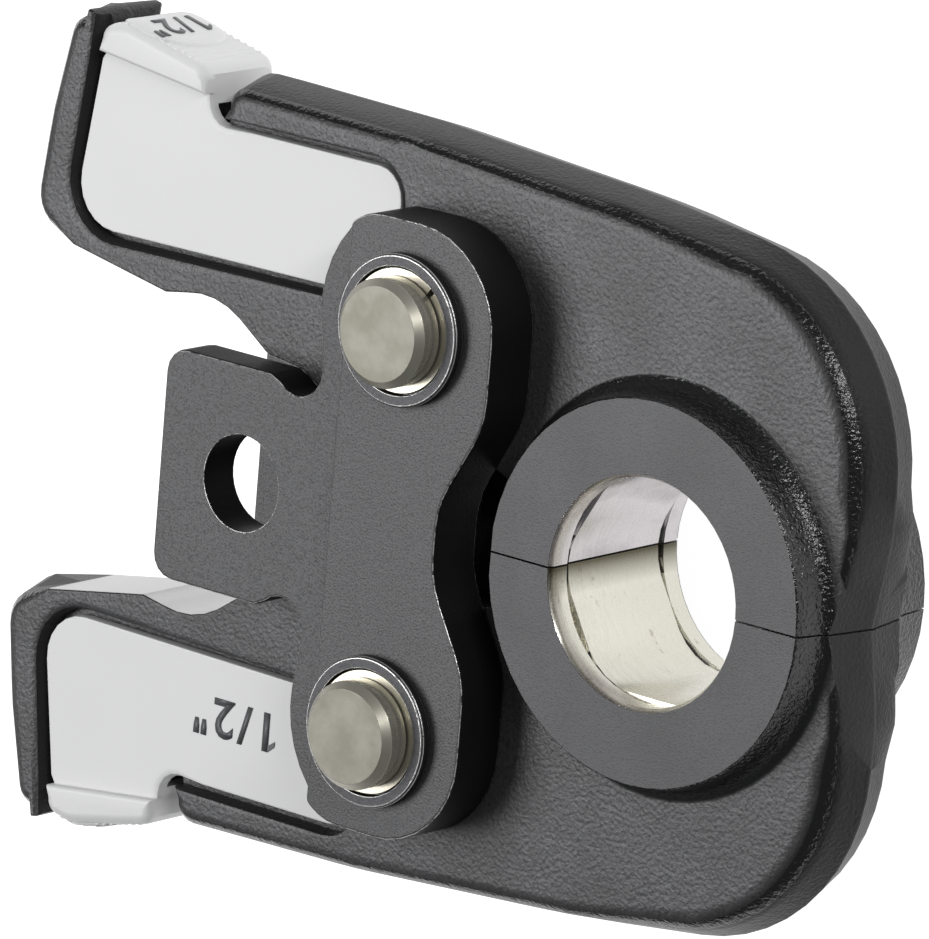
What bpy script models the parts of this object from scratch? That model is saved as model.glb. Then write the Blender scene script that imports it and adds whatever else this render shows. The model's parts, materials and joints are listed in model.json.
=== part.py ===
"""A press fitting tool jaw for small steel pipe: two forged arms turn on pins between two T-shaped plates.

It lies on its back. +X runs from the tails to the nose, +Y from the lower arm to the upper one, and +Z is
the way the pins point. Sizes are in millimetres, and heights are measured from the middle plane of the jaw.
"""

import math

import bmesh
import bpy
from mathutils import Matrix, Vector

MM = 0.001
CLEAR = 0.3

# Jaw arms
ARM_HALF = 7.6
ARM_DRAFT = 1.3
MACHINED_EDGE = 0.5
PARTING = 0.15
BOSS_X = 43.2
BOSS_RADIUS = 27.84
BOSS_FRONT = ARM_HALF + 5.5
BOSS_BACK = ARM_HALF + 8.5
BACK_LEAN = 1.3
BOSS_TAPER = 0.56
COVE_REACH = 2.9
COVE_RISE = 3.1
BOSS_STEPS = 48
POCKET_HALF = ARM_HALF - 3.3
ROLLER_SEAT = (-46.2, 10.3, 13.6)

# Press contour, a rounded hexagon between two round lips
CONTOUR_FLAT = 15.9
CONTOUR_CORNER = 10.0
LIP_RADIUS = 16.4
LIP_MOUTH = 16.9
GROOVE_RADIUS = 17.1
GROOVE_DEPTH = (3.7, 4.5)

# Side plates
PLATE_INNER = ARM_HALF + CLEAR
TONGUE_FACE = PLATE_INNER + 6.5
HEAD_FACE = TONGUE_FACE + 2.6
TONGUE_HOLE = (-30.3, 7.15)
FLANK_RADIUS = 18.1
FLANK_SPAN = (129, 196)
NOTCH_CENTRE = (-21.2, 19.3)
NOTCH_RADIUS = 4.3
PLATE_EDGE = 0.5

# Pivot pins and what sits on their ends
PIVOT_Y = 29.46
PIN_RADIUS = 8.0
PIN_CHAMFER = 1.05
PIN_BORE = PIN_RADIUS + CLEAR
COLLAR_RADIUS = 11.16
COLLAR_TOP = HEAD_FACE + 1.9
COLLAR_SHANK = 10.2
COLLAR_RECESS = (9.4, HEAD_FACE + 0.1)
PIN_END = COLLAR_TOP + 4.05
PIN_GROOVE = (7.25, HEAD_FACE + 0.1, COLLAR_TOP - 0.1)
RING_SPAN = (7.55, 9.1, HEAD_FACE + 0.4, COLLAR_TOP - 0.4)
RING_GAP_DEG = 5.0

# Size clips
PANEL_INNER = POCKET_HALF + CLEAR
PANEL_FACE = ARM_HALF - 1.2
CAP_HALF = ARM_HALF + 0.4
CAP_FLOOR = 55.2
NECK_FLOOR = 51.6

# Closing spring and its post
SPRING_X = -6.5
POST_RADIUS = 3.6
SPIGOT_RADIUS = 2.3
SPIGOT_END = PLATE_INNER + 2.7
WIRE_RADIUS = 1.0
COIL_TURNS = 2
COIL_PITCH = 2.5
COIL_STEPS = 40
LEG_END = (-24.8, 14.3)

# Where the middle of the jaw lies in the world
CENTRE_X = -2.84
REST_HEIGHT = PIN_END

# How far a flat facet may lie inside its arc
CHORD = 0.08


def clear_scene():
    for obj in list(bpy.data.objects):
        bpy.data.objects.remove(obj)


def make_object(name, points, faces, pivot=(0.0, 0.0)):
    """A mesh object whose origin is on the pivot, from points in jaw millimetres."""
    mesh = bpy.data.meshes.new(name)
    mesh.from_pydata(
        [((x - pivot[0]) * MM, (y - pivot[1]) * MM, z * MM) for x, y, z in points], [], faces
    )
    work = bmesh.new()
    work.from_mesh(mesh)
    bmesh.ops.recalc_face_normals(work, faces=work.faces)
    if work.calc_volume(signed=True) < 0:
        bmesh.ops.reverse_faces(work, faces=work.faces)
    work.to_mesh(mesh)
    work.free()
    obj = bpy.data.objects.new(name, mesh)
    obj.location = ((pivot[0] - CENTRE_X) * MM, pivot[1] * MM, REST_HEIGHT * MM)
    bpy.context.scene.collection.objects.link(obj)
    return obj


def combine(obj, tool, operation):
    """Joins, cuts or trims obj with tool, and removes the tool."""
    modifier = obj.modifiers.new(operation, "BOOLEAN")
    modifier.object = tool
    modifier.operation = operation
    modifier.solver = "EXACT"
    with bpy.context.temp_override(object=obj, active_object=obj):
        bpy.ops.object.modifier_apply(modifier=modifier.name)
    bpy.data.objects.remove(tool)


def arc(centre, radius, start, end, step=None):
    """Points along an arc between two angles in degrees. The step follows from the facets' depth."""
    step = step or min(22.5, math.degrees(2 * math.acos(1 - CHORD / max(radius, 1.0))))
    count = max(2, math.ceil(abs(end - start) / step)) + 1
    for i in range(count):
        angle = math.radians(start + (end - start) * i / (count - 1))
        yield centre[0] + radius * math.cos(angle), centre[1] + radius * math.sin(angle)


def fillet(before, corner, after, radius):
    """The arc of this radius that rounds a corner between its two neighbours."""
    corner = Vector(corner)
    along = (Vector(before) - corner).normalized()
    onward = (Vector(after) - corner).normalized()
    half = along.angle(onward) / 2
    centre = corner + (along + onward).normalized() * (radius / math.sin(half))
    first = corner + along * (radius / math.tan(half)) - centre
    last = corner + onward * (radius / math.tan(half)) - centre
    start = math.degrees(math.atan2(first.y, first.x))
    turn = math.degrees(math.atan2(first.cross(last), first.dot(last)))
    return arc(centre, radius, start, start + turn)


def outline(corners):
    """A closed outline from corners (x, y, corner radius, edge rounding). Points keep the edge rounding."""
    points = []
    for i, (x, y, radius, edge) in enumerate(corners):
        if radius > 0:
            before = corners[i - 1][:2]
            after = corners[(i + 1) % len(corners)][:2]
            points += [(px, py, edge) for px, py in fillet(before, (x, y), after, radius)]
        else:
            points.append((x, y, edge))
    return points


def outward(points):
    """The outward direction at each point of an anticlockwise outline, long enough to keep sides parallel."""
    found = []
    for i, point in enumerate(points):
        here = Vector(point[:2])
        back = (here - Vector(points[i - 1][:2])).normalized()
        on = (Vector(points[(i + 1) % len(points)][:2]) - here).normalized()
        normal = Vector((back.y + on.y, -back.x - on.x))
        found.append(normal * (2 / max(normal.length_squared, 1.0)))
    return found


def loft(name, rings, pivot=(0.0, 0.0)):
    """A closed solid through rings of equal length, capped at the first and last."""
    count = len(rings[0])
    points = [point for ring in rings for point in ring]
    faces = [tuple(range(count)), tuple(range(len(points) - count, len(points)))]
    for level in range(len(rings) - 1):
        low = level * count
        for i in range(count):
            j = (i + 1) % count
            faces.append((low + i, low + j, low + count + j, low + count + i))
    return make_object(name, points, faces, pivot)


def rounding(points, normals, face, into, facets, draft=0.0):
    """The rings of a rounded edge, from wall to face. into is 1 above a low face, -1 below a high one."""
    rings = []
    for k in range(facets + 1):
        angle = 0.5 * math.pi * k / facets
        ring = []
        for (x, y, edge), normal in zip(points, normals):
            lean = draft if edge > MACHINED_EDGE else 0.0
            inset = lean + edge * (1 - math.cos(angle))
            z = face + into * abs(edge) * (1 - math.sin(angle))
            ring.append((x - normal.x * inset, y - normal.y * inset, z))
        rings.append(ring)
    return rings


def slab(name, points, low, high, facets=2, draft=0.0, round_low=True, pivot=(0.0, 0.0)):
    """A flat piece between two heights, with rounded edges. Forged walls lean in from the middle plane."""
    normals = outward(points)
    if round_low:
        rings = rounding(points, normals, low, 1, facets, draft)[::-1]
    else:
        rings = [[(x, y, low) for x, y, edge in points]]
    if draft:
        rings.append([(x, y, (low + high) / 2) for x, y, edge in points])
    return loft(name, rings + rounding(points, normals, high, -1, facets, draft), pivot)


def turned(name, centre, sections, steps=24, pivot=None):
    """A solid of revolution about the vertical line through centre, from (radius, height) sections."""
    rings = []
    for radius, z in sections:
        rings.append([(x, y, z) for x, y in list(arc(centre, radius, 0, 360, 360 / steps))[:-1]])
    return loft(name, rings, pivot or centre)


def ring_solid(name, centre, profile, start=0.0, end=360.0, steps=24, pivot=None):
    """A closed profile of (radius, height) points swept round centre, with end faces if it stops short."""
    whole = end - start >= 360
    angles = [math.radians(start + (end - start) * i / steps) for i in range(steps if whole else steps + 1)]
    size = len(profile)
    points = []
    for angle in angles:
        for radius, z in profile:
            points.append((centre[0] + radius * math.cos(angle), centre[1] + radius * math.sin(angle), z))
    faces = []
    for i in range(steps):
        here, there = i * size, (i + 1) % len(angles) * size
        for k in range(size):
            m = (k + 1) % size
            faces.append((here + k, here + m, there + m, there + k))
    if not whole:
        faces += [tuple(range(size)), tuple(range(steps * size, (steps + 1) * size))]
    return make_object(name, points, faces, pivot or centre)


def both_ways(front, back):
    """Sections (radius, height) of the back half, turned downwards, and then those of the front half."""
    return [(radius, -z) for radius, z in reversed(back)] + front


def prism(name, corners, low, high, pivot=(0.0, 0.0)):
    """A sharp-edged piece between two heights, for cutting with."""
    return loft(name, [[(x, y, z) for x, y in corners] for z in (low, high)], pivot)


def flipped(points):
    """An outline mirrored to the lower arm's side, still anticlockwise."""
    return [(x, -y, edge) for x, y, edge in reversed(points)]


def sided(points, side):
    return points if side > 0 else flipped(points)


def tongue_outline():
    """The lower, machined part of a plate: the tongue and the flanks beside the tool's fork."""
    flank = list(arc((0, PIVOT_Y), FLANK_RADIUS, *FLANK_SPAN))
    notch = list(arc(NOTCH_CENTRE, NOTCH_RADIUS, 0, -135))
    corner = list(arc((-42.6, 13.6), 3.6, 90, 180))
    upper = [(-4.0, PIVOT_Y + 5)] + flank + notch + [(-26.3, 17.2)] + corner
    upper = [(x, y, PLATE_EDGE) for x, y in upper]
    return upper + flipped(upper)


def head_outline():
    """The raised head that both pins pass through, waisted between them."""
    corners = [
        (8.6, 0.0, 0.0, PLATE_EDGE),
        (8.6, 5.5, 14.0, PLATE_EDGE),
        (16.0, 18.6, 14.0, PLATE_EDGE),
        (16.0, 45.2, 14.6, PLATE_EDGE),
        (-8.2, 45.0, 8.0, PLATE_EDGE),
        (-11.4, 42.8, 1.2, PLATE_EDGE),
    ]
    upper = outline(corners + [(-11.4, 0.0, 0.0, PLATE_EDGE)])
    lower = flipped(upper)
    return upper + lower[1:-1]


def side_plate(name, side):
    """A T-shaped plate. side is 1 for the front one and -1 for the back one."""
    plate = slab(name, tongue_outline(), PLATE_INNER, TONGUE_FACE, round_low=False)
    combine(plate, slab("head", head_outline(), PLATE_INNER, HEAD_FACE, round_low=False), "UNION")
    x, radius = TONGUE_HOLE
    combine(plate, turned("cut", (x, 0), [(radius, 5), (radius, 30)], steps=36), "DIFFERENCE")
    for y in (PIVOT_Y, -PIVOT_Y):
        bore = COLLAR_SHANK + CLEAR
        combine(plate, turned("cut", (0, y), [(bore, 5), (bore, 30)]), "DIFFERENCE")
    spigot = SPIGOT_RADIUS + CLEAR
    hole = [(spigot, 5), (spigot, SPIGOT_END + CLEAR)]
    combine(plate, turned("cut", (SPRING_X, 0), hole, steps=16), "DIFFERENCE")
    if side < 0:
        plate.data.transform(Matrix.Scale(-1, 4, (0, 0, 1)))
        plate.data.flip_normals()
    return plate


def outer_wall():
    """The outside of the upper arm from the parting face at the nose to the finger beside the size clip."""
    return [
        (72.9, -8.0, 0.0, 0.8),
        (76.2, 13.0, 20.0, 2.0),
        (76.2, 47.0, 31.0, 4.0),
        (30.0, 53.0, 200.0, 3.0),
        (-10.0, 56.0, 150.0, 2.8),
    ]


def arm_outline():
    """The upper arm seen from the front, anticlockwise from the parting face at the bore."""
    tail = [
        (-46.4, 57.0, 4.8, 2.8),
        (-46.4, 46.5, 0.0, 0.2),
        (-50.8, 46.5, 0.0, 0.2),
        (-50.8, CAP_FLOOR - CLEAR, 0.0, 0.2),
        (-70.1, CAP_FLOOR - CLEAR, 0.0, 0.2),
        (-70.1, 61.4, 2.2, 0.45),
        (-76.7, 61.6, 4.4, 2.6),
        (-80.6, 46.0, 60.0, 3.0),
        (-82.6, 28.0, 7.0, 2.8),
    ]
    points = outline([(20.2, -8.0, 0.0, 0.4)] + outer_wall() + tail)
    x, y, radius = ROLLER_SEAT
    points += [(-72.0, 26.15, 0.4), (-53.4, 22.8, 0.4)]
    points += [(px, py, 0.3) for px, py in arc((x, y), radius, 115, 46)][1:-1]
    inner = [
        (-36.4, 20.0, 0.0, 0.4),
        (-33.0, 17.7, 2.6, 0.4),
        (-26.5, 16.9, 3.0, 0.4),
        (-19.0, 12.7, 4.0, 0.4),
        (2.0, 13.0, 8.0, 0.4),
        (14.0, 9.0, 4.0, 0.4),
    ]
    rounded = outline([(-44.0, 24.0, 0.0, 0.4)] + inner + [(20.2, -8.0, 0.0, 0.4)])
    return points + rounded[1:-1]


def pocket_outline():
    """A size clip's shallow seat, open at the tail's outer edge. Negative rounding flares it outwards."""
    corners = [
        (-9.8, 28.5, 0.0, -0.8),
        (-9.8, 50.3, 6.0, -0.8),
        (-47.0, 50.3, 0.0, -0.6),
        (-47.0, 66.0, 0.0, -0.3),
        (-70.3, 66.0, 0.0, -0.9),
        (-71.2, 55.0, 0.0, -1.6),
        (-74.5, 28.0, 8.5, -1.8),
    ]
    points = [point for point in outline(corners)[1:] if math.dist(point[:2], (0, PIVOT_Y)) > 14.8]
    seat = [(x, y, -0.8) for x, y in arc((0, PIVOT_Y), 14.6, 183, 132)]
    return seat + points


def contour_radius(angle):
    """The radius of the rounded hexagon at this angle, in radians, with two corners on the parting line."""
    sector = (angle + math.pi / 6) % (math.pi / 3) - math.pi / 6
    reach = (CONTOUR_FLAT - CONTOUR_CORNER) / math.cos(math.pi / 6)
    tangent = math.atan2((CONTOUR_FLAT - CONTOUR_CORNER) * math.tan(math.pi / 6), CONTOUR_FLAT)
    from_flat = math.pi / 6 - abs(sector)
    if from_flat < tangent:
        return CONTOUR_FLAT / math.cos(from_flat)
    return reach * math.cos(sector) + math.sqrt(CONTOUR_CORNER**2 - (reach * math.sin(sector)) ** 2)


def contour_steps(face):
    """Radii and heights from the hexagon's edge, past groove and lip, to one face of the boss.

    A radius of None stands for the hexagon's own.
    """
    far, near = (face - depth for depth in GROOVE_DEPTH)
    return [
        (None, near),
        (GROOVE_RADIUS, near + 0.2),
        (GROOVE_RADIUS, far - 0.2),
        (LIP_RADIUS, far),
        (LIP_RADIUS, face - 0.9),
        (LIP_MOUTH, face - 0.1),
        (LIP_MOUTH, face + 2),
    ]


def contour_cutter(pivot):
    """What the press contour takes out of the boss."""
    rings = []
    for radius, z in both_ways(contour_steps(BOSS_FRONT), contour_steps(BOSS_BACK)):
        ring = []
        for i in range(BOSS_STEPS):
            angle = math.tau * i / BOSS_STEPS
            reach = radius or contour_radius(angle)
            ring.append((BOSS_X + reach * math.cos(angle), reach * math.sin(angle), z))
        rings.append(ring)
    return loft("contour", rings, pivot)


def boss_wall(face):
    """The boss's outside towards one of its faces: a cove where it meets the web, then a tapered wall."""
    foot = ARM_HALF - 0.15
    root = BOSS_RADIUS + BOSS_TAPER
    wall = [(root + COVE_REACH, foot - 1.6)]
    for angle in (270, 247.5, 225, 202.5, 180):
        turn = math.radians(angle)
        wall.append((root + COVE_REACH * (1 + math.cos(turn)), foot + COVE_RISE * (1 + math.sin(turn))))
    return wall + [(BOSS_RADIUS, face - 0.3), (BOSS_RADIUS - 0.3, face)]


def boss(pivot, side):
    """The full ring that both arms share, trimmed to the arm's outside. It reaches further to the back."""
    sections = both_ways(boss_wall(BOSS_FRONT), boss_wall(BOSS_BACK))
    ring = turned("boss", (BOSS_X, 0), sections, steps=BOSS_STEPS, pivot=pivot)
    combine(ring, envelope(pivot, side), "INTERSECT")
    return ring


def envelope(pivot, side):
    """The arm's drafted outside, carried on past its faces, for trimming the boss with."""
    points = sided(outline([(13.6, -8.0, 0.0, 0.8)] + outer_wall()[:-1] + [(13.6, 54.2, 0.0, 0.8)]), side)
    normals = outward(points)
    rings = []
    top = BOSS_FRONT + 1
    for z, lean in ((-BOSS_BACK - 1, BACK_LEAN), (-ARM_HALF, 1.0), (0, 0.0), (top, top / ARM_HALF)):
        inset = 0.05 + ARM_DRAFT * lean
        rings.append([(x - n.x * inset, y - n.y * inset, z) for (x, y, edge), n in zip(points, normals)])
    return loft("envelope", rings, pivot)


def jaw_arm(name, side):
    """One forged arm with its pivot bore, half of the press contour and a seat for its size clip."""
    pivot = (0, side * PIVOT_Y)
    points = sided(arm_outline(), side)
    arm = slab(name, points, -ARM_HALF, ARM_HALF, facets=3, draft=ARM_DRAFT, pivot=pivot)
    combine(arm, boss(pivot, side), "UNION")
    combine(arm, contour_cutter(pivot), "DIFFERENCE")
    beyond = [(5, side * PARTING), (90, side * PARTING), (90, -side * 40), (5, -side * 40)]
    combine(arm, prism("cut", beyond, -20, 20, pivot), "DIFFERENCE")
    for end in (1, -1):
        combine(arm, pocket_cutter(sided(pocket_outline(), side), end, pivot), "DIFFERENCE")
    bore = [(PIN_BORE, -20), (PIN_BORE, 20)]
    combine(arm, turned("cut", pivot, bore), "DIFFERENCE")
    return arm


def pocket_cutter(points, end, pivot):
    """A clip seat's cutter: straight walls that flare out as they reach the arm's face, and on past it."""
    rings = rounding(points, outward(points), ARM_HALF + 0.03, -1, 2)
    rings = [[(x, y, POCKET_HALF) for x, y, edge in points]] + rings
    rings.append([(x, y, ARM_HALF + 2) for x, y, z in rings[-1]])
    return loft("seat", [[(x, y, end * z) for x, y, z in ring] for ring in rings], pivot)


def panel_outline():
    """The flat face of a size clip, from the arc beside the pin to its tail end, and the neck to its cap."""
    corners = [
        (-11.2, 29.6, 0.0, 0.3),
        (-11.2, 49.0, 4.6, 0.3),
        (-40.0, 49.0, 0.0, 0.3),
        (-48.6, 49.0, 3.4, 1.2),
        (-48.6, 56.0, 0.0, 1.2),
        (-69.0, 56.0, 0.0, 0.3),
        (-69.9, 54.5, 0.0, 0.3),
        (-73.6, 29.2, 7.0, 0.3),
    ]
    points = [point for point in outline(corners)[1:] if math.dist(point[:2], (0, PIVOT_Y)) > 16.2]
    seat = [(x, y, 0.3) for x, y in arc((0, PIVOT_Y), 15.9, 178.8, 134.6)]
    return seat + points


def cap_outline():
    """The thick crowned end of a size clip, over the tail's outer edge."""
    corners = [
        (-48.6, 53.2, 0.0, 0.6),
        (-48.6, 57.1, 2.4, 1.6),
        (-65.2, 61.0, 8.0, 1.8),
        (-69.5, 59.5, 2.4, 1.6),
        (-69.5, 55.8, 0.0, 0.6),
    ]
    return outline(corners)


def size_clip(name, side):
    """A plastic clip that straddles the tail: two panels joined by a cap and the wall at its end."""
    pivot = (0, side * PIVOT_Y)
    clip = slab(name, sided(panel_outline(), side), -PANEL_FACE, PANEL_FACE, pivot=pivot)
    cap = slab("cap", sided(cap_outline(), side), -CAP_HALF, CAP_HALF, facets=3, pivot=pivot)
    combine(clip, cap, "UNION")
    inside = [(-5.0, 20.0), (-5.0, NECK_FLOOR), (-50.5, NECK_FLOOR)]
    inside += [(-50.5, CAP_FLOOR), (-80.0, CAP_FLOOR), (-80.0, 20.0)]
    inside = [(x, side * y) for x, y in inside]
    combine(clip, prism("cut", inside, -PANEL_INNER, PANEL_INNER, pivot), "DIFFERENCE")
    return clip


def pivot_pin(name, y):
    """A plain pin with a snap ring groove near each end."""
    groove, low, high = PIN_GROOVE
    top = [(PIN_RADIUS, low), (groove, low + 0.1), (groove, high - 0.1), (PIN_RADIUS, high)]
    top += [(PIN_RADIUS, PIN_END - PIN_CHAMFER), (PIN_RADIUS - PIN_CHAMFER, PIN_END)]
    return turned(name, (0, y), both_ways(top, top))


def collar(name, y, end):
    """A flanged bush in the plate. Its flange is the dark collar round the pin, with a snap ring's recess."""
    recess, floor = COLLAR_RECESS
    bore = PIN_RADIUS + CLEAR
    profile = [
        (bore, PLATE_INNER + CLEAR),
        (COLLAR_SHANK, PLATE_INNER + CLEAR),
        (COLLAR_SHANK, HEAD_FACE + CLEAR),
        (COLLAR_RADIUS, HEAD_FACE + CLEAR),
        (COLLAR_RADIUS, COLLAR_TOP - 0.3),
        (COLLAR_RADIUS - 0.3, COLLAR_TOP),
        (recess, COLLAR_TOP),
        (recess, floor),
        (bore, floor),
    ]
    return ring_solid(name, (0, y), [(radius, end * z) for radius, z in profile])


def snap_ring(name, y, end, gap_at):
    """A split ring in the pin's groove."""
    inner, outer, low, high = RING_SPAN
    profile = [(inner, low), (outer, low), (outer, high), (inner, high)]
    profile = [(radius, end * z) for radius, z in profile]
    start = gap_at + RING_GAP_DEG / 2
    return ring_solid(name, (0, y), profile, start, start + 360 - RING_GAP_DEG)


def spring_post():
    shoulder = PLATE_INNER - CLEAR
    top = [(POST_RADIUS, shoulder), (SPIGOT_RADIUS, shoulder + 0.1), (SPIGOT_RADIUS, SPIGOT_END)]
    return turned("spring_post", (SPRING_X, 0), both_ways(top, top), steps=16)


def spring_path():
    """The wire's middle line: a leg from the lower arm, the coil round the post, a leg to the upper arm."""
    radius = POST_RADIUS + CLEAR + WIRE_RADIUS
    x, y = LEG_END
    reach = Vector((SPRING_X - x, y))
    start = math.atan2(reach.y, reach.x) - math.asin(radius / reach.length) - math.pi / 2
    turn = math.tau * COIL_TURNS - 2 * start
    rise = COIL_PITCH * turn / math.tau
    coil = []
    for i in range(COIL_STEPS + 1):
        share = i / COIL_STEPS
        angle = start + turn * share
        z = rise * (share - 0.5)
        coil.append(Vector((SPRING_X + radius * math.cos(angle), radius * math.sin(angle), z)))
    first = Vector((x, -y, coil[0].z))
    last = Vector((x, y, coil[-1].z))
    return [first] + coil + [last]


def wire(name, path, radius, sides=6):
    """A round wire along a path of points."""
    rings = []
    side = None
    for i, here in enumerate(path):
        along = (path[min(i + 1, len(path) - 1)] - path[max(i - 1, 0)]).normalized()
        side = Vector((0, 0, 1)) if side is None else side
        side = (side - along * side.dot(along)).normalized()
        other = along.cross(side)
        ring = []
        for k in range(sides):
            angle = math.tau * k / sides
            point = here + radius * (side * math.cos(angle) + other * math.sin(angle))
            ring.append((point.x, point.y, point.z))
        rings.append(ring)
    return loft(name, rings)


def build():
    clear_scene()
    side_plate("side_plate_front", 1)
    side_plate("side_plate_back", -1)
    for place, side, gap_at in (("upper", 1, 50), ("lower", -1, -99)):
        jaw_arm(f"jaw_arm_{place}", side)
        size_clip(f"size_clip_{place}", side)
        y = side * PIVOT_Y
        pivot_pin(f"pivot_pin_{place}", y)
        for face, end in (("front", 1), ("back", -1)):
            collar(f"pin_collar_{place}_{face}", y, end)
            snap_ring(f"snap_ring_{place}_{face}", y, end, gap_at)
    spring_post()
    wire("closing_spring", spring_path(), WIRE_RADIUS)


build()
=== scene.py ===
"""The look of a press fitting tool jaw: camera, light, materials and fine detail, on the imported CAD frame.

Sizes are in millimetres in the jaw's own frame, where the pivots lie at x = 0 and heights are measured from
the middle plane. place() turns them into the world's metres. The camera, lights and floor are in metres.
"""

import json
import math

import bmesh
import bpy
from mathutils import Matrix, Vector
from mathutils.bvhtree import BVHTree

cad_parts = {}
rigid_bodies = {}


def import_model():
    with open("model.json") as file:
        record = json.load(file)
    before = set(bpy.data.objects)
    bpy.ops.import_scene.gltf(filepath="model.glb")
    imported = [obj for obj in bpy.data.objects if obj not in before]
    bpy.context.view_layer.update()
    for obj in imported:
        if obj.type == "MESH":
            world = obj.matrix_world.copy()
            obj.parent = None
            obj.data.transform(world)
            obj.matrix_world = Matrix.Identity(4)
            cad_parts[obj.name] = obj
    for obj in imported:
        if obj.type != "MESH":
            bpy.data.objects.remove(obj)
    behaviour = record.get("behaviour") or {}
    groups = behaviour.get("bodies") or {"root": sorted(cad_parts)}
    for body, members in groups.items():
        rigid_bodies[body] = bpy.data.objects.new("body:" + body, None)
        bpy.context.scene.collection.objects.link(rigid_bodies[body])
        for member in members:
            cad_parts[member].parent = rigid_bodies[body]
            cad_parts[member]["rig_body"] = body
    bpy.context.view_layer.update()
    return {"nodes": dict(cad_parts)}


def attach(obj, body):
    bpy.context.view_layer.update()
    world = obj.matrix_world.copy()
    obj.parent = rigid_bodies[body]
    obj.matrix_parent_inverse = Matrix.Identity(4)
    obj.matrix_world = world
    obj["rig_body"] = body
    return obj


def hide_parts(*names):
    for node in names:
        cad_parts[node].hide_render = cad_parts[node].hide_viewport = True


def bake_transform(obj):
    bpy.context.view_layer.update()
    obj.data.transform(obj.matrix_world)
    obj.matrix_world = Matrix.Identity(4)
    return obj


MM = 0.001
SIDES = (("upper", 1), ("lower", -1))

# The jaw's place in the world, and those of its sizes that the look depends on
CENTRE_X = -2.84
REST_HEIGHT = 22.95
PIVOT_Y = 29.46
ARM_HALF = 7.6
BOSS_X = 43.2
BOSS_FACE_FROM = 12.0
CONTOUR_REACH = 16.8
CONTOUR_HALF = 12.5
PARTING_EDGE = 0.3
CAM_SPAN = (-72.5, -36.0)
CAM_REACH = 27.5
CAP_OUTSIDE = 70.0

# The camera, solved from the photograph
CAMERA_AT = (0.81054, 0.3168, 1.02055)
CAMERA_RIGHT = (0.7621, 0.08, -0.6425)
CAMERA_DOWN = (0.2113, -0.9687, 0.13)
CAMERA_LENS = 353.2

# Each light's place, size and power in watts
LIGHTS = {
    "face_box": ((-0.64, 0.06, 1.00), (0.8, 0.6), 13.0),
    "top_box": ((0.05, 0.60, 1.05), (0.7, 0.5), 1.2),
    "side_strip": ((0.78, 0.58, 0.42), (0.10, 0.70), 6.0),
}
LIGHT_AIM = (0.0, 0.0, 0.02)
SKY = (0.95, 0.97, 1.0, 1)
SKY_STRENGTH = 0.15

FLOOR_HALF = 3.0
FLOOR_DROP = 0.0002
FLOOR_GLOW = 0.95

# Edges that turn by more than this are sharp
SHARP = math.radians(38)

# Facets that turn by less than this are one face, on plain pieces and on turned ones
FLAT = math.radians(0.4)
TURNED_FLAT = math.radians(1)

# Points closer than this are one point
MERGE = 0.002

# How far the sharp edges of each kind of piece are broken
PLATE_EDGE = 0.16
COLLAR_EDGE = 0.10
RING_EDGE = 0.10
ARM_EDGE = 0.10
CLIP_EDGE = 0.15
PIN_EDGE = 0.15

# Limits for the height of a face's normal, which is 0 on an upright wall and 1 on a flat face
UPRIGHT_UP_TO = 0.3
WALL_UP_TO = 0.42
RIM_UP_TO = 0.88
FLAT_FROM = 0.9
GROUND_FROM = 0.98

# How much a cam face looks towards the jaw's middle, at least
INWARD_FROM = 0.5

# Painted shade and painted reflection on the forging: greys for a surface that faces the back (0), sideways
# (0.5) or the front (1), dark on the rims, grey on the walls and lightest facing straight back
FACING_SHADE_GREYS = (
    (0.02, 0.030),
    (0.10, 0.007),
    (0.25, 0.007),
    (0.33, 0.016),
    (0.50, 0.022),
    (0.67, 0.018),
    (0.77, 0.006),
    (1.0, 0.006),
)
# The cove round the boss's foot is painted the darkest shade all over
COVE_SHADE_GREYS = ((0.0, 0.007), (1.0, 0.007))

# Half the width of the line that the forging's flash has left
FLASH_HALF = 0.35

# Where the contour is darker, in a margin below the parting line, and how sharply its plating changes at
# that line
DARK_MARGIN_SPAN = (-4.5, -0.4)
PLATING_BLEND = 0.1

# The pad on the crown of a clip's cap: an oval of rings that each have a share of its size and a lift
PAD_AT = -61.7
PAD_HALF = (6.8, 7.2)
PAD_STEPS = 40
PAD_SQUARENESS = 0.8
PAD_RINGS = ((1.0, -0.15), (0.985, 0.25), (0.95, 0.38), (0.7, 0.38), (0.4, 0.38), (0.1, 0.38))

# The ribs beside the pad, and the offset and lift of each corner of a rib
RIB_COUNT = 12
RIB_FROM = -51.2
RIB_PITCH = 1.4
RIB_HALF = 7.0
RIB_CORNERS = ((-0.42, -0.1), (-0.22, 0.22), (0.22, 0.22), (0.42, -0.1))

# The raised figures and their lettering
FIGURES = "1/2\""
FIGURE_SPACING = 1.2
FIGURE_SWELL = 0.018
FIGURE_DEPTH = 0.1

# Where the figures stand on the caps and on the lower clip's panel, their height, and their width for it
CAP_FIGURES = (-60.9, 0.6)
CAP_FIGURE_HEIGHT = 5.2
CAP_FIGURE_WIDTH = 0.94
CAP_FIGURE_LIFT = 0.42
PANEL_FIGURES = (-34.7, -38.3, 6.42)
PANEL_FIGURE_HEIGHT = 6.2
PANEL_FIGURE_WIDTH = 1.034

# The flag of a figure one, from the top left corner of its bar
FLAG = ((0.0, 0.0), (-0.15, -0.13), (-0.15, -0.23), (0.0, -0.12))

# The sockets of a mix node that hold colours
COLOUR_IN = (6, 7)
COLOUR_OUT = 2


def place(x, y, z=0.0):
    """A point of the jaw's own frame, in the world."""
    return Vector(((x - CENTRE_X) * MM, y * MM, (z + REST_HEIGHT) * MM))


def unplace(point):
    """A point of the world, in the jaw's own frame."""
    return Vector((point.x / MM + CENTRE_X, point.y / MM, point.z / MM - REST_HEIGHT))


def times(colour, share):
    return tuple(share * value for value in colour)


def add_object(name, data):
    """A new object of the scene that holds this data."""
    obj = bpy.data.objects.new(name, data)
    bpy.context.scene.collection.objects.link(obj)
    return obj


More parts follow.
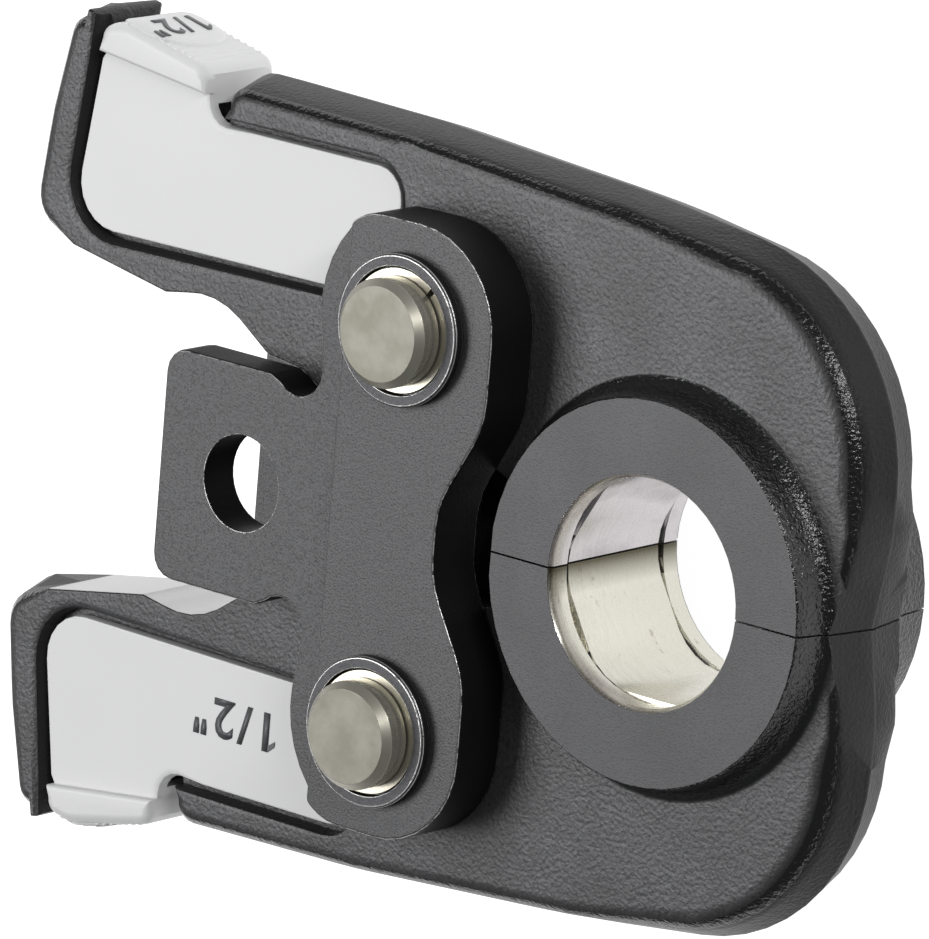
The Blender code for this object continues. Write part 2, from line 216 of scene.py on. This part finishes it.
def mesh_object(name, points, faces, material, smooth=False):
    mesh = bpy.data.meshes.new(name)
    mesh.from_pydata(points, [], faces)
    for face in mesh.polygons:
        face.use_smooth = smooth
    mesh.materials.append(material)
    return add_object(name, mesh)


class Shader:
    """A material whose nodes are added and linked by name."""

    def __init__(self, name):
        self.material = bpy.data.materials.new(name)
        self.material.use_nodes = True
        self.nodes = self.material.node_tree.nodes
        self.links = self.material.node_tree.links
        self.surface = self.nodes["Principled BSDF"]

    def add(self, kind, inputs=None, **settings):
        """A new node with these settings and inputs."""
        node = self.nodes.new(kind)
        for key, value in settings.items():
            setattr(node, key, value)
        for key, value in (inputs or {}).items():
            self.feed(node, key, value)
        return node

    def feed(self, node, key, value):
        """Sets a socket, or links it if the value is a node or a socket."""
        if isinstance(value, bpy.types.Node):
            value = value.outputs[0]
        if isinstance(value, bpy.types.NodeSocket):
            self.links.new(value, node.inputs[key])
        else:
            node.inputs[key].default_value = value

    def finish(self, **inputs):
        """The material, once the surface has these inputs."""
        for key, value in inputs.items():
            self.feed(self.surface, key.replace("_", " "), value)
        return self.material

    def spots(self, size_mm, detail=3.0, stretch=(1, 1, 1), roughness=0.55):
        """Noise with lumps of about this size. A stretch under 1 draws them out along that axis."""
        where = self.add("ShaderNodeTexCoord").outputs["Object"]
        if stretch != (1, 1, 1):
            where = self.add("ShaderNodeMapping", {"Vector": where, "Scale": stretch})
        inputs = {"Vector": where, "Scale": 1 / (size_mm * MM), "Detail": detail, "Roughness": roughness}
        return self.add("ShaderNodeTexNoise", inputs)

    def band(self, source, low, high, start=0.0, end=1.0):
        """The source remapped so that low gives start and high gives end."""
        inputs = {"Value": source, "From Min": low, "From Max": high, "To Min": start, "To Max": end}
        return self.add("ShaderNodeMapRange", inputs)

    def ramp(self, source, stops):
        """Greys blended along the source, from (place, grey) stops. All places are set before any colour."""
        node = self.add("ShaderNodeValToRGB", {"Fac": source})
        points = node.color_ramp.elements
        while len(points) < len(stops):
            points.new(0.5)
        for point, (at, grey) in zip(points, stops):
            point.position = at
        for point, (at, grey) in zip(points, stops):
            point.color = (grey, grey, grey, 1)
        return node.outputs["Color"]

    def mix(self, factor, *colours):
        """A blend from the first colour to the second. Each is a tuple or a socket."""
        node = self.add("ShaderNodeMix", {"Factor": factor}, data_type="RGBA")
        for index, colour in zip(COLOUR_IN, colours):
            self.feed(node, index, (*colour, 1) if isinstance(colour, tuple) else colour)
        return node.outputs[COLOUR_OUT]

    def calculate(self, operation, first, second=0.0):
        return self.add("ShaderNodeMath", {0: first, 1: second}, operation=operation).outputs[0]

    def axes(self):
        """The three coordinates of the point, in metres."""
        where = self.add("ShaderNodeTexCoord").outputs["Object"]
        return self.add("ShaderNodeSeparateXYZ", {"Vector": where}).outputs

    def facing(self):
        """1 where the surface faces the front, -1 where it faces the back and 0 on an upright wall."""
        normal = self.add("ShaderNodeNewGeometry").outputs["Normal"]
        return self.add("ShaderNodeSeparateXYZ", {"Vector": normal}).outputs["Z"]

    def flatness(self, low, high):
        """1 on a flat face, front or back, and 0 on an upright wall."""
        return self.band(self.calculate("ABSOLUTE", self.facing()), low, high)

    def flash_line(self):
        """1 on the jaw's middle plane, fading out beside it."""
        height = self.calculate("SUBTRACT", self.axes()[2], REST_HEIGHT * MM)
        return self.band(self.calculate("ABSOLUTE", height), 0.0, FLASH_HALF * MM, 1.0, 0.0)

    def turning_marks(self, pitch_mm):
        """Uneven rings round the pins' axes."""
        x, y, z = self.axes()
        across = self.calculate("SUBTRACT", x, -CENTRE_X * MM)
        along = self.calculate("SUBTRACT", self.calculate("ABSOLUTE", y), PIVOT_Y * MM)
        squares = [self.calculate("POWER", distance, 2.0) for distance in (across, along)]
        radius = self.calculate("SQRT", self.calculate("ADD", *squares))
        rings = self.add("ShaderNodeCombineXYZ", {"X": radius})
        return self.add("ShaderNodeTexNoise", {"Vector": rings, "Scale": 1 / (pitch_mm * MM), "Detail": 2.0})

    def bump(self, height, depth_mm, under=None):
        """Relief of this depth, on top of another relief if there is one under it."""
        inputs = {"Height": height, "Distance": depth_mm * MM, "Strength": 1.0}
        if under is not None:
            inputs["Normal"] = under
        return self.add("ShaderNodeBump", inputs)


def forged_steel(name, gloss, roughness, relief, shade_greys=FACING_SHADE_GREYS):
    """Forged steel: coarse light grey faces, and elsewhere painted shade and reflection by which way the
    surface faces, dark on the rims and grey on the walls, with a flash line.
    """
    shader = Shader(name)
    grain = shader.spots(0.62, detail=2.0, roughness=0.5)
    fine = shader.spots(0.4, detail=2.0)
    broad = shader.spots(14.0, detail=3.0)
    face = shader.flatness(0.84, 0.975)
    dull = shader.mix(shader.band(broad, 0.35, 0.65), (0.056, 0.056, 0.058), (0.074, 0.074, 0.077))
    pitted = shader.mix(shader.band(fine, 0.25, 0.60), (0.034, 0.034, 0.035), dull)
    # Painted shade and painted reflection: a grey set by which way the surface faces, with the flash line
    # over it
    painted_shade_or_size = shader.ramp(shader.band(shader.facing(), -1.0, 1.0), shade_greys)
    painted_shade_or_size = shader.mix(shader.flash_line(), painted_shade_or_size, (0.050, 0.050, 0.052))
    return shader.finish(
        Base_Color=shader.mix(face, painted_shade_or_size, pitted),
        Roughness=shader.band(face, 0.0, 1.0, roughness, 0.46),
        Metallic=shader.band(face, 0.0, 1.0, 0.05, 0.45),
        Specular_IOR_Level=gloss,
        Normal=shader.bump(grain, relief, under=shader.bump(fine, 0.03)),
    )


def boss_steel():
    """The ground faces of the boss: a fine even grain, drawn out along the jaw."""
    shader = Shader("boss_steel")
    fine = shader.spots(0.24, detail=3.0, stretch=(0.6, 1.0, 1.0))
    broad = shader.spots(12.0, detail=3.0)
    clouded = shader.mix(shader.band(broad, 0.3, 0.7), (0.056, 0.056, 0.058), (0.068, 0.068, 0.071))
    return shader.finish(
        Base_Color=shader.mix(shader.band(fine, 0.28, 0.52), (0.040, 0.040, 0.042), clouded),
        Roughness=0.48,
        Metallic=0.45,
        Specular_IOR_Level=0.4,
        Normal=shader.bump(fine, 0.03),
    )


def plate_steel(name, colour, relief, gloss=0.4):
    """Dark phosphated steel with a fine even grain, and painted shade that darkens its walls."""
    shader = Shader(name)
    fine = shader.spots(0.30, detail=3.0)
    broad = shader.spots(18.0, detail=4.0)
    clouded = shader.mix(shader.band(broad, 0.35, 0.65), colour, times(colour, 1.3))
    grained = shader.mix(shader.band(fine, 0.30, 0.55), times(colour, 0.5), clouded)
    face = shader.flatness(0.6, 0.95)
    return shader.finish(
        # Upright walls take a tenth of the face's grey: painted shade
        Base_Color=shader.mix(face, times(colour, 0.1), grained),
        Roughness=shader.band(broad, 0.3, 0.7, 0.44, 0.52),
        Metallic=shader.band(face, 0.0, 1.0, 0.10, 0.45),
        Specular_IOR_Level=gloss,
        Normal=shader.bump(fine, relief),
    )


def worn_steel(name, bright, share):
    """The bright line along a rubbed edge, broken up where a share of the dark finish is left."""
    shader = Shader(name)
    patches = shader.spots(1.6, detail=5.0, roughness=0.75)
    worn = shader.band(patches, share - 0.04, share + 0.04)
    return shader.finish(
        Base_Color=shader.mix(worn, (0.05, 0.05, 0.052), (bright, bright, 0.98 * bright)),
        Roughness=0.38,
        Metallic=shader.band(worn, 0.0, 1.0, 0.3, 0.85),
        Normal=shader.bump(shader.spots(0.4), 0.08),
    )


def pin_steel():
    """Warm grey nickel plate: a dull ground end with faint turning marks and stains, and brighter sides."""
    shader = Shader("pin_steel")
    stain = shader.spots(5.0, detail=5.0, roughness=0.6)
    end = shader.flatness(0.5, 0.95)
    ground = shader.mix(shader.band(stain, 0.4, 0.62), (0.178, 0.172, 0.142), (0.224, 0.214, 0.186))
    return shader.finish(
        Base_Color=shader.mix(end, (0.46, 0.44, 0.37), ground),
        Roughness=shader.band(end, 0.0, 1.0, 0.24, 0.55),
        Metallic=0.8,
        Normal=shader.bump(shader.turning_marks(0.25), 0.012),
    )


def nickel():
    """The plated press contour, polished: grey with long light and dark bands above the parting line, warm
    below it with a darker margin next to the line.
    """
    shader = Shader("contour_nickel")
    stain = shader.spots(4.0, detail=6.0, roughness=0.7)
    brushed = shader.spots(0.5, detail=3.0, stretch=(0.12, 0.12, 1.0))
    wavy = shader.spots(9.0, detail=3.0, stretch=(1.0, 1.0, 0.4))
    across = shader.axes()[1]
    upper = shader.mix(shader.band(wavy, 0.35, 0.60), (0.34, 0.32, 0.33), (0.60, 0.575, 0.585))
    lower = shader.mix(shader.band(stain, 0.62, 0.74), (0.71, 0.69, 0.61), (0.34, 0.31, 0.24))
    margin = shader.band(across, DARK_MARGIN_SPAN[0] * MM, DARK_MARGIN_SPAN[1] * MM)
    lower_with_margin = shader.mix(margin, lower, (0.10, 0.09, 0.06))
    above = shader.band(across, -PLATING_BLEND * MM, PLATING_BLEND * MM)
    return shader.finish(
        Base_Color=shader.mix(above, lower_with_margin, upper),
        Roughness=shader.band(brushed, 0.3, 0.7, 0.20, 0.32),
        Metallic=0.95,
        Normal=shader.bump(brushed, 0.012),
    )


def clip_plastic():
    """Light grey moulded plastic with a fine spark-eroded texture."""
    shader = Shader("clip_plastic")
    fine = shader.spots(0.25, detail=2.0)
    broad = shader.spots(25.0, detail=2.0)
    return shader.finish(
        Base_Color=shader.mix(broad, (0.535, 0.535, 0.54), (0.565, 0.565, 0.565)),
        Roughness=0.45,
        Normal=shader.bump(fine, 0.010),
    )


def plain(name, colour, roughness, metallic=0.9):
    """One colour with a very fine grain."""
    shader = Shader(name)
    fine = shader.spots(0.4, detail=3.0)
    return shader.finish(
        Base_Color=shader.mix(fine, colour, times(colour, 0.8)),
        Roughness=roughness,
        Metallic=metallic,
        Normal=shader.bump(fine, 0.01),
    )


def floor_white():
    """A white glow over a light grey that takes a faint shadow."""
    return Shader("floor").finish(
        Base_Color=(0.4, 0.4, 0.4, 1),
        Roughness=0.9,
        Emission_Color=(1, 1, 1, 1),
        Emission_Strength=FLOOR_GLOW,
    )


def contour_face(centre, normal):
    """True for the faces of the press contour and its grooves, apart from the parting faces."""
    near = math.hypot(centre.x - BOSS_X, centre.y) < CONTOUR_REACH and abs(centre.y) > PARTING_EDGE
    return near and (abs(normal.z) < FLAT_FROM or abs(centre.z) < CONTOUR_HALF)


def cam_face(centre, normal):
    """True for the machined faces that the tool's rollers run on."""
    inward = -normal.y if centre.y > 0 else normal.y
    on_tail = CAM_SPAN[0] < centre.x < CAM_SPAN[1] and abs(centre.y) < CAM_REACH
    return on_tail and inward > INWARD_FROM and abs(normal.z) < UPRIGHT_UP_TO


def boss_face(centre, normal):
    """True for the flat ring faces at both ends of the boss."""
    return abs(centre.z) > BOSS_FACE_FROM and abs(normal.z) > GROUND_FROM


def cove_face(centre, normal):
    """True for the wall of the boss and the cove round its foot."""
    return abs(centre.z) > ARM_HALF and abs(normal.z) < RIM_UP_TO


def rim_face(centre, normal):
    """True for an arm's rounded rims."""
    return WALL_UP_TO < abs(normal.z) < RIM_UP_TO


def wall_face(centre, normal):
    """True for upright walls."""
    return abs(normal.z) <= WALL_UP_TO


def join_facets(work, turned):
    """Joins a piece's flat facets. Creases hold a turned piece's sharp edges when it's subdivided."""
    bmesh.ops.remove_doubles(work, verts=work.verts, dist=MERGE * MM)
    if not turned:
        bmesh.ops.dissolve_limit(work, angle_limit=FLAT, verts=work.verts, edges=work.edges)
        return
    limits = {"angle_face_threshold": TURNED_FLAT, "angle_shape_threshold": math.pi}
    bmesh.ops.join_triangles(work, faces=work.faces, **limits)
    crease = work.edges.layers.float.new("crease_edge")
    for edge in work.edges:
        if edge.calc_face_angle(0.0) > SHARP:
            edge[crease] = 1.0


def sort_faces(work, tests):
    """Gives a face the slot of the first test it passes, or slot 0. Slot 1 is kept for worn edges."""
    for face in work.faces:
        centre = unplace(face.calc_center_median())
        passed = [slot for slot, test in enumerate(tests, start=2) if test(centre, face.normal)]
        face.material_index = passed[0] if passed else 0
        face.smooth = True


def subdivide(piece):
    finer = piece.modifiers.new("finer", "SUBSURF")
    finer.levels = finer.render_levels = 2


def break_edges(piece, width):
    """A narrow bevel on the sharp edges, in the material of slot 1."""
    broken = piece.modifiers.new("broken_edges", "BEVEL")
    broken.width = width * MM
    broken.segments = 2
    broken.limit_method = "ANGLE"
    broken.angle_limit = SHARP
    broken.harden_normals = True
    broken.material = 1


def look_of(node, material, worn=None, edge=0.0, finishes=(), turned=False):
    """A smooth-shaded copy of a CAD node that stands for it.

    edge is how far its sharp edges are broken, and worn is their material. finishes holds (test, material)
    pairs that the faces are sorted by. A turned piece is subdivided until its facets don't show.
    """
    mesh = frame["nodes"][node].data.copy()
    mesh.materials.clear()
    work = bmesh.new()
    work.from_mesh(mesh)
    join_facets(work, turned)
    sort_faces(work, [test for test, finish in finishes])
    work.to_mesh(mesh)
    work.free()
    if "custom_normal" in mesh.attributes:
        mesh.attributes.remove(mesh.attributes["custom_normal"])
    mesh.set_sharp_from_angle(angle=SHARP)
    for finish in [material, worn or material] + [finish for test, finish in finishes]:
        mesh.materials.append(finish)
    piece = add_object(node + "_look", mesh)
    if turned:
        subdivide(piece)
    if edge:
        break_edges(piece, edge)
    weighted = piece.modifiers.new("weighted", "WEIGHTED_NORMAL")
    weighted.keep_sharp = True
    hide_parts(node)
    return piece


def refined(node, *finish, **settings):
    """A CAD node's look that moves with the node's body."""
    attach(look_of(node, *finish, **settings), frame["nodes"][node]["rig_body"])


def spring_half(which, side, wire):
    """The half of the closing spring on one arm's side of the middle plane, cut off at that plane."""
    piece = look_of("closing_spring", wire)
    piece.name = f"spring_{which}_look"
    work = bmesh.new()
    work.from_mesh(piece.data)
    plane = {"plane_co": place(0, 0), "plane_no": (0, 0, side), "dist": 1e-7}
    everything = work.verts[:] + work.edges[:] + work.faces[:]
    cut = bmesh.ops.bisect_plane(work, geom=everything, clear_inner=True, **plane)
    rim = [item for item in cut["geom_cut"] if isinstance(item, bmesh.types.BMEdge)]
    bmesh.ops.holes_fill(work, edges=rim)
    work.to_mesh(piece.data)
    work.free()
    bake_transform(piece)


def make_camera():
    camera = bpy.data.cameras.new("camera")
    camera.sensor_width = 36
    camera.lens = CAMERA_LENS
    camera.clip_end = 10
    eye = add_object("camera", camera)
    right = Vector(CAMERA_RIGHT).normalized()
    up = -Vector(CAMERA_DOWN).normalized()
    turn = Matrix((right, up, right.cross(up))).transposed()
    eye.matrix_world = Matrix.Translation(CAMERA_AT) @ turn.to_4x4()
    bpy.context.scene.camera = eye


def make_floor():
    """A white sweep that glows, so that it stays white round the jaw."""
    corners = [(x * FLOOR_HALF, y * FLOOR_HALF, 0) for x, y in ((-1, -1), (1, -1), (1, 1), (-1, 1))]
    floor = mesh_object("floor", corners, [(0, 1, 2, 3)], floor_white())
    floor.location.z = -FLOOR_DROP


def softbox(name, at, size, power):
    """An area light that looks at the jaw."""
    light = bpy.data.lights.new(name, "AREA")
    light.shape = "RECTANGLE"
    light.size, light.size_y = size
    light.energy = power
    lamp = add_object(name, light)
    lamp.location = at
    lamp.rotation_euler = (Vector(LIGHT_AIM) - Vector(at)).to_track_quat("-Z", "Y").to_euler()


def make_light():
    world = bpy.data.worlds.new("studio")
    world.use_nodes = True
    background = world.node_tree.nodes["Background"]
    background.inputs["Color"].default_value = SKY
    background.inputs["Strength"].default_value = SKY_STRENGTH
    bpy.context.scene.world = world
    for name, settings in LIGHTS.items():
        softbox(name, *settings)
    bpy.context.scene.view_settings.view_transform = "Standard"


def add_flag(mesh):
    """Gives the leading figure one, which is a plain bar in the font, its flag."""
    work = bmesh.new()
    work.from_mesh(mesh)
    left = min(vertex.co.x for vertex in work.verts)
    top = max(vertex.co.y for vertex in work.verts if vertex.co.x < left + 0.01)
    work.faces.new([work.verts.new((left + x, top + y, 0)) for x, y in FLAG])
    work.to_mesh(mesh)
    work.free()


def flat_figures(name):
    """The size of the fitting as a flat mesh, in the font's own units."""
    curve = bpy.data.curves.new(name, "FONT")
    curve.body = FIGURES
    curve.align_x = "CENTER"
    curve.align_y = "CENTER"
    curve.offset = FIGURE_SWELL
    curve.space_character = FIGURE_SPACING
    curve.resolution_u = 3
    text = add_object(name, curve)
    mesh = bpy.data.meshes.new_from_object(text)
    bpy.data.objects.remove(text)
    add_flag(mesh)
    return mesh


def numerals(name, at, right, up, height, body, ink, onto=Vector):
    """Thin raised figures centred at a point of the jaw. onto() lays each of their points on a surface."""
    mesh = flat_figures(name)
    low = Vector(map(min, *(vertex.co for vertex in mesh.vertices)))
    high = Vector(map(max, *(vertex.co for vertex in mesh.vertices)))
    painted_shade_or_size = height / (high.y - low.y)
    for vertex in mesh.vertices:
        offset = (vertex.co - (low + high) / 2) * painted_shade_or_size
        vertex.co = place(*onto(Vector(at) + offset.x * Vector(right) + offset.y * Vector(up)))
    mesh.materials.append(ink)
    piece = add_object(name, mesh)
    thick = piece.modifiers.new("thickness", "SOLIDIFY")
    thick.thickness = FIGURE_DEPTH * MM
    thick.offset = 1
    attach(piece, body)


def crown_finder(which, side):
    """A function that gives the point of a cap's crown at some x and z, lifted off it."""
    clip = frame["nodes"][f"size_clip_{which}"].data
    shape = BVHTree.FromPolygons([v.co for v in clip.vertices], [p.vertices for p in clip.polygons])

    def crown(x, z, lift):
        hit = shape.ray_cast(place(x, side * CAP_OUTSIDE, z), Vector((0, -side, 0)))[0]
        return Vector((x, unplace(hit).y + side * lift, z))

    return crown


def squared(share):
    """A share of an oval's half size, pushed out towards its corners."""
    return math.copysign(abs(share) ** PAD_SQUARENESS, share)


def cap_pad(name, crown, plastic):
    """The smooth raised oval that carries the figures."""
    points = []
    for share, lift in PAD_RINGS:
        for k in range(PAD_STEPS):
            angle = math.tau * k / PAD_STEPS
            x = PAD_AT + PAD_HALF[0] * share * squared(math.cos(angle))
            z = PAD_HALF[1] * share * squared(math.sin(angle))
            points.append(place(*crown(x, z, lift)))
    faces = [tuple(range(len(points) - PAD_STEPS, len(points)))]
    for first in range(0, len(points) - PAD_STEPS, PAD_STEPS):
        for k in range(PAD_STEPS):
            here, there = first + k, first + (k + 1) % PAD_STEPS
            faces.append((here, there, there + PAD_STEPS, here + PAD_STEPS))
    return mesh_object(name, points, faces, plastic, smooth=True)


def cap_ribs(name, crown, plastic):
    """The row of low ribs across the crown, open on the side that is sunk in the cap."""
    points, faces = [], []
    for i in range(RIB_COUNT):
        first = len(points)
        for offset, lift in RIB_CORNERS:
            x = RIB_FROM - RIB_PITCH * i + offset
            points += [place(*crown(x, z, lift)) for z in (-RIB_HALF, RIB_HALF)]
        last = len(points)
        for k in range(first, last - 2, 2):
            faces.append((k, k + 1, k + 3, k + 2))
        faces.append(tuple(range(first, last, 2)))
        faces.append(tuple(range(last - 1, first, -2)))
    return mesh_object(name, points, faces, plastic)


def cap_details(which, side, plastic, ink):
    """The ribs and the numbered pad on the crown of a clip's cap."""
    body = f"{which}_arm"
    crown = crown_finder(which, side)
    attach(cap_pad(f"cap_pad_{which}", crown, plastic), body)
    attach(cap_ribs(f"cap_ribs_{which}", crown, plastic), body)

    def on_pad(point):
        return crown(point.x, point.z, CAP_FIGURE_LIFT)

    x, z = CAP_FIGURES
    right = (0, 0, side * CAP_FIGURE_WIDTH)
    numerals(f"cap_size_{which}", (x, 0, z), right, (1, 0, 0), CAP_FIGURE_HEIGHT, body, ink, on_pad)


def arm_finishes():
    """The tests and finishes of an arm's faces, in the order that they are tried."""
    return [
        (contour_face, nickel()),
        (cam_face, plain("cam_steel", (0.42, 0.42, 0.42), 0.34)),
        (boss_face, boss_steel()),
        (cove_face, forged_steel("forged_cove", 0.5, 0.18, 0.26, COVE_SHADE_GREYS)),
        (rim_face, forged_steel("forged_rim", 0.5, 0.20, 0.20)),
        (wall_face, forged_steel("forged_wall", 0.12, 0.38, 0.16)),
    ]


def dress_plates():
    """The plates, and the bushes and snap rings at both ends of the pins."""
    grey = (0.060, 0.060, 0.062)
    plates = plate_steel("plate_steel", grey, 0.06)
    walls = [(wall_face, plate_steel("plate_wall_steel", grey, 0.05, gloss=0.12))]
    worn_plates = worn_steel("worn_plate_edge", 0.60, 0.47)
    collars = plate_steel("collar_steel", (0.052, 0.052, 0.056), 0.015)
    worn_collars = worn_steel("worn_edge", 0.50, 0.38)
    rings = plain("snap_ring_steel", (0.58, 0.55, 0.46), 0.36)
    for end in ("front", "back"):
        refined(f"side_plate_{end}", plates, worn_plates, PLATE_EDGE, walls)
        for which, side in SIDES:
            refined(f"pin_collar_{which}_{end}", collars, worn_collars, COLLAR_EDGE, turned=True)
            refined(f"snap_ring_{which}_{end}", rings, edge=RING_EDGE, turned=True)


def dress_arms():
    """The arms with their clips and pins, and the spring between them."""
    forged = forged_steel("forged_steel", 0.4, 0.40, 0.13)
    worn_arms = worn_steel("worn_arm_edge", 0.42, 0.46)
    finishes = arm_finishes()
    clips = clip_plastic()
    pins = pin_steel()
    wire = plain("spring_wire", (0.30, 0.29, 0.27), 0.35)
    ink = plain("numeral_ink", (0.075, 0.077, 0.082), 0.5, metallic=0.0)
    for which, side in SIDES:
        refined(f"jaw_arm_{which}", forged, worn_arms, ARM_EDGE, finishes)
        refined(f"size_clip_{which}", clips, edge=CLIP_EDGE)
        refined(f"pivot_pin_{which}", pins, edge=PIN_EDGE, turned=True)
        cap_details(which, side, clips, ink)
        spring_half(which, side, wire)
    refined("spring_post", pins)
    right = (-PANEL_FIGURE_WIDTH, 0, 0)
    numerals("panel_size", PANEL_FIGURES, right, (0, -1, 0), PANEL_FIGURE_HEIGHT, "lower_arm", ink)


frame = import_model()
make_camera()
make_floor()
make_light()
dress_plates()
dress_arms()
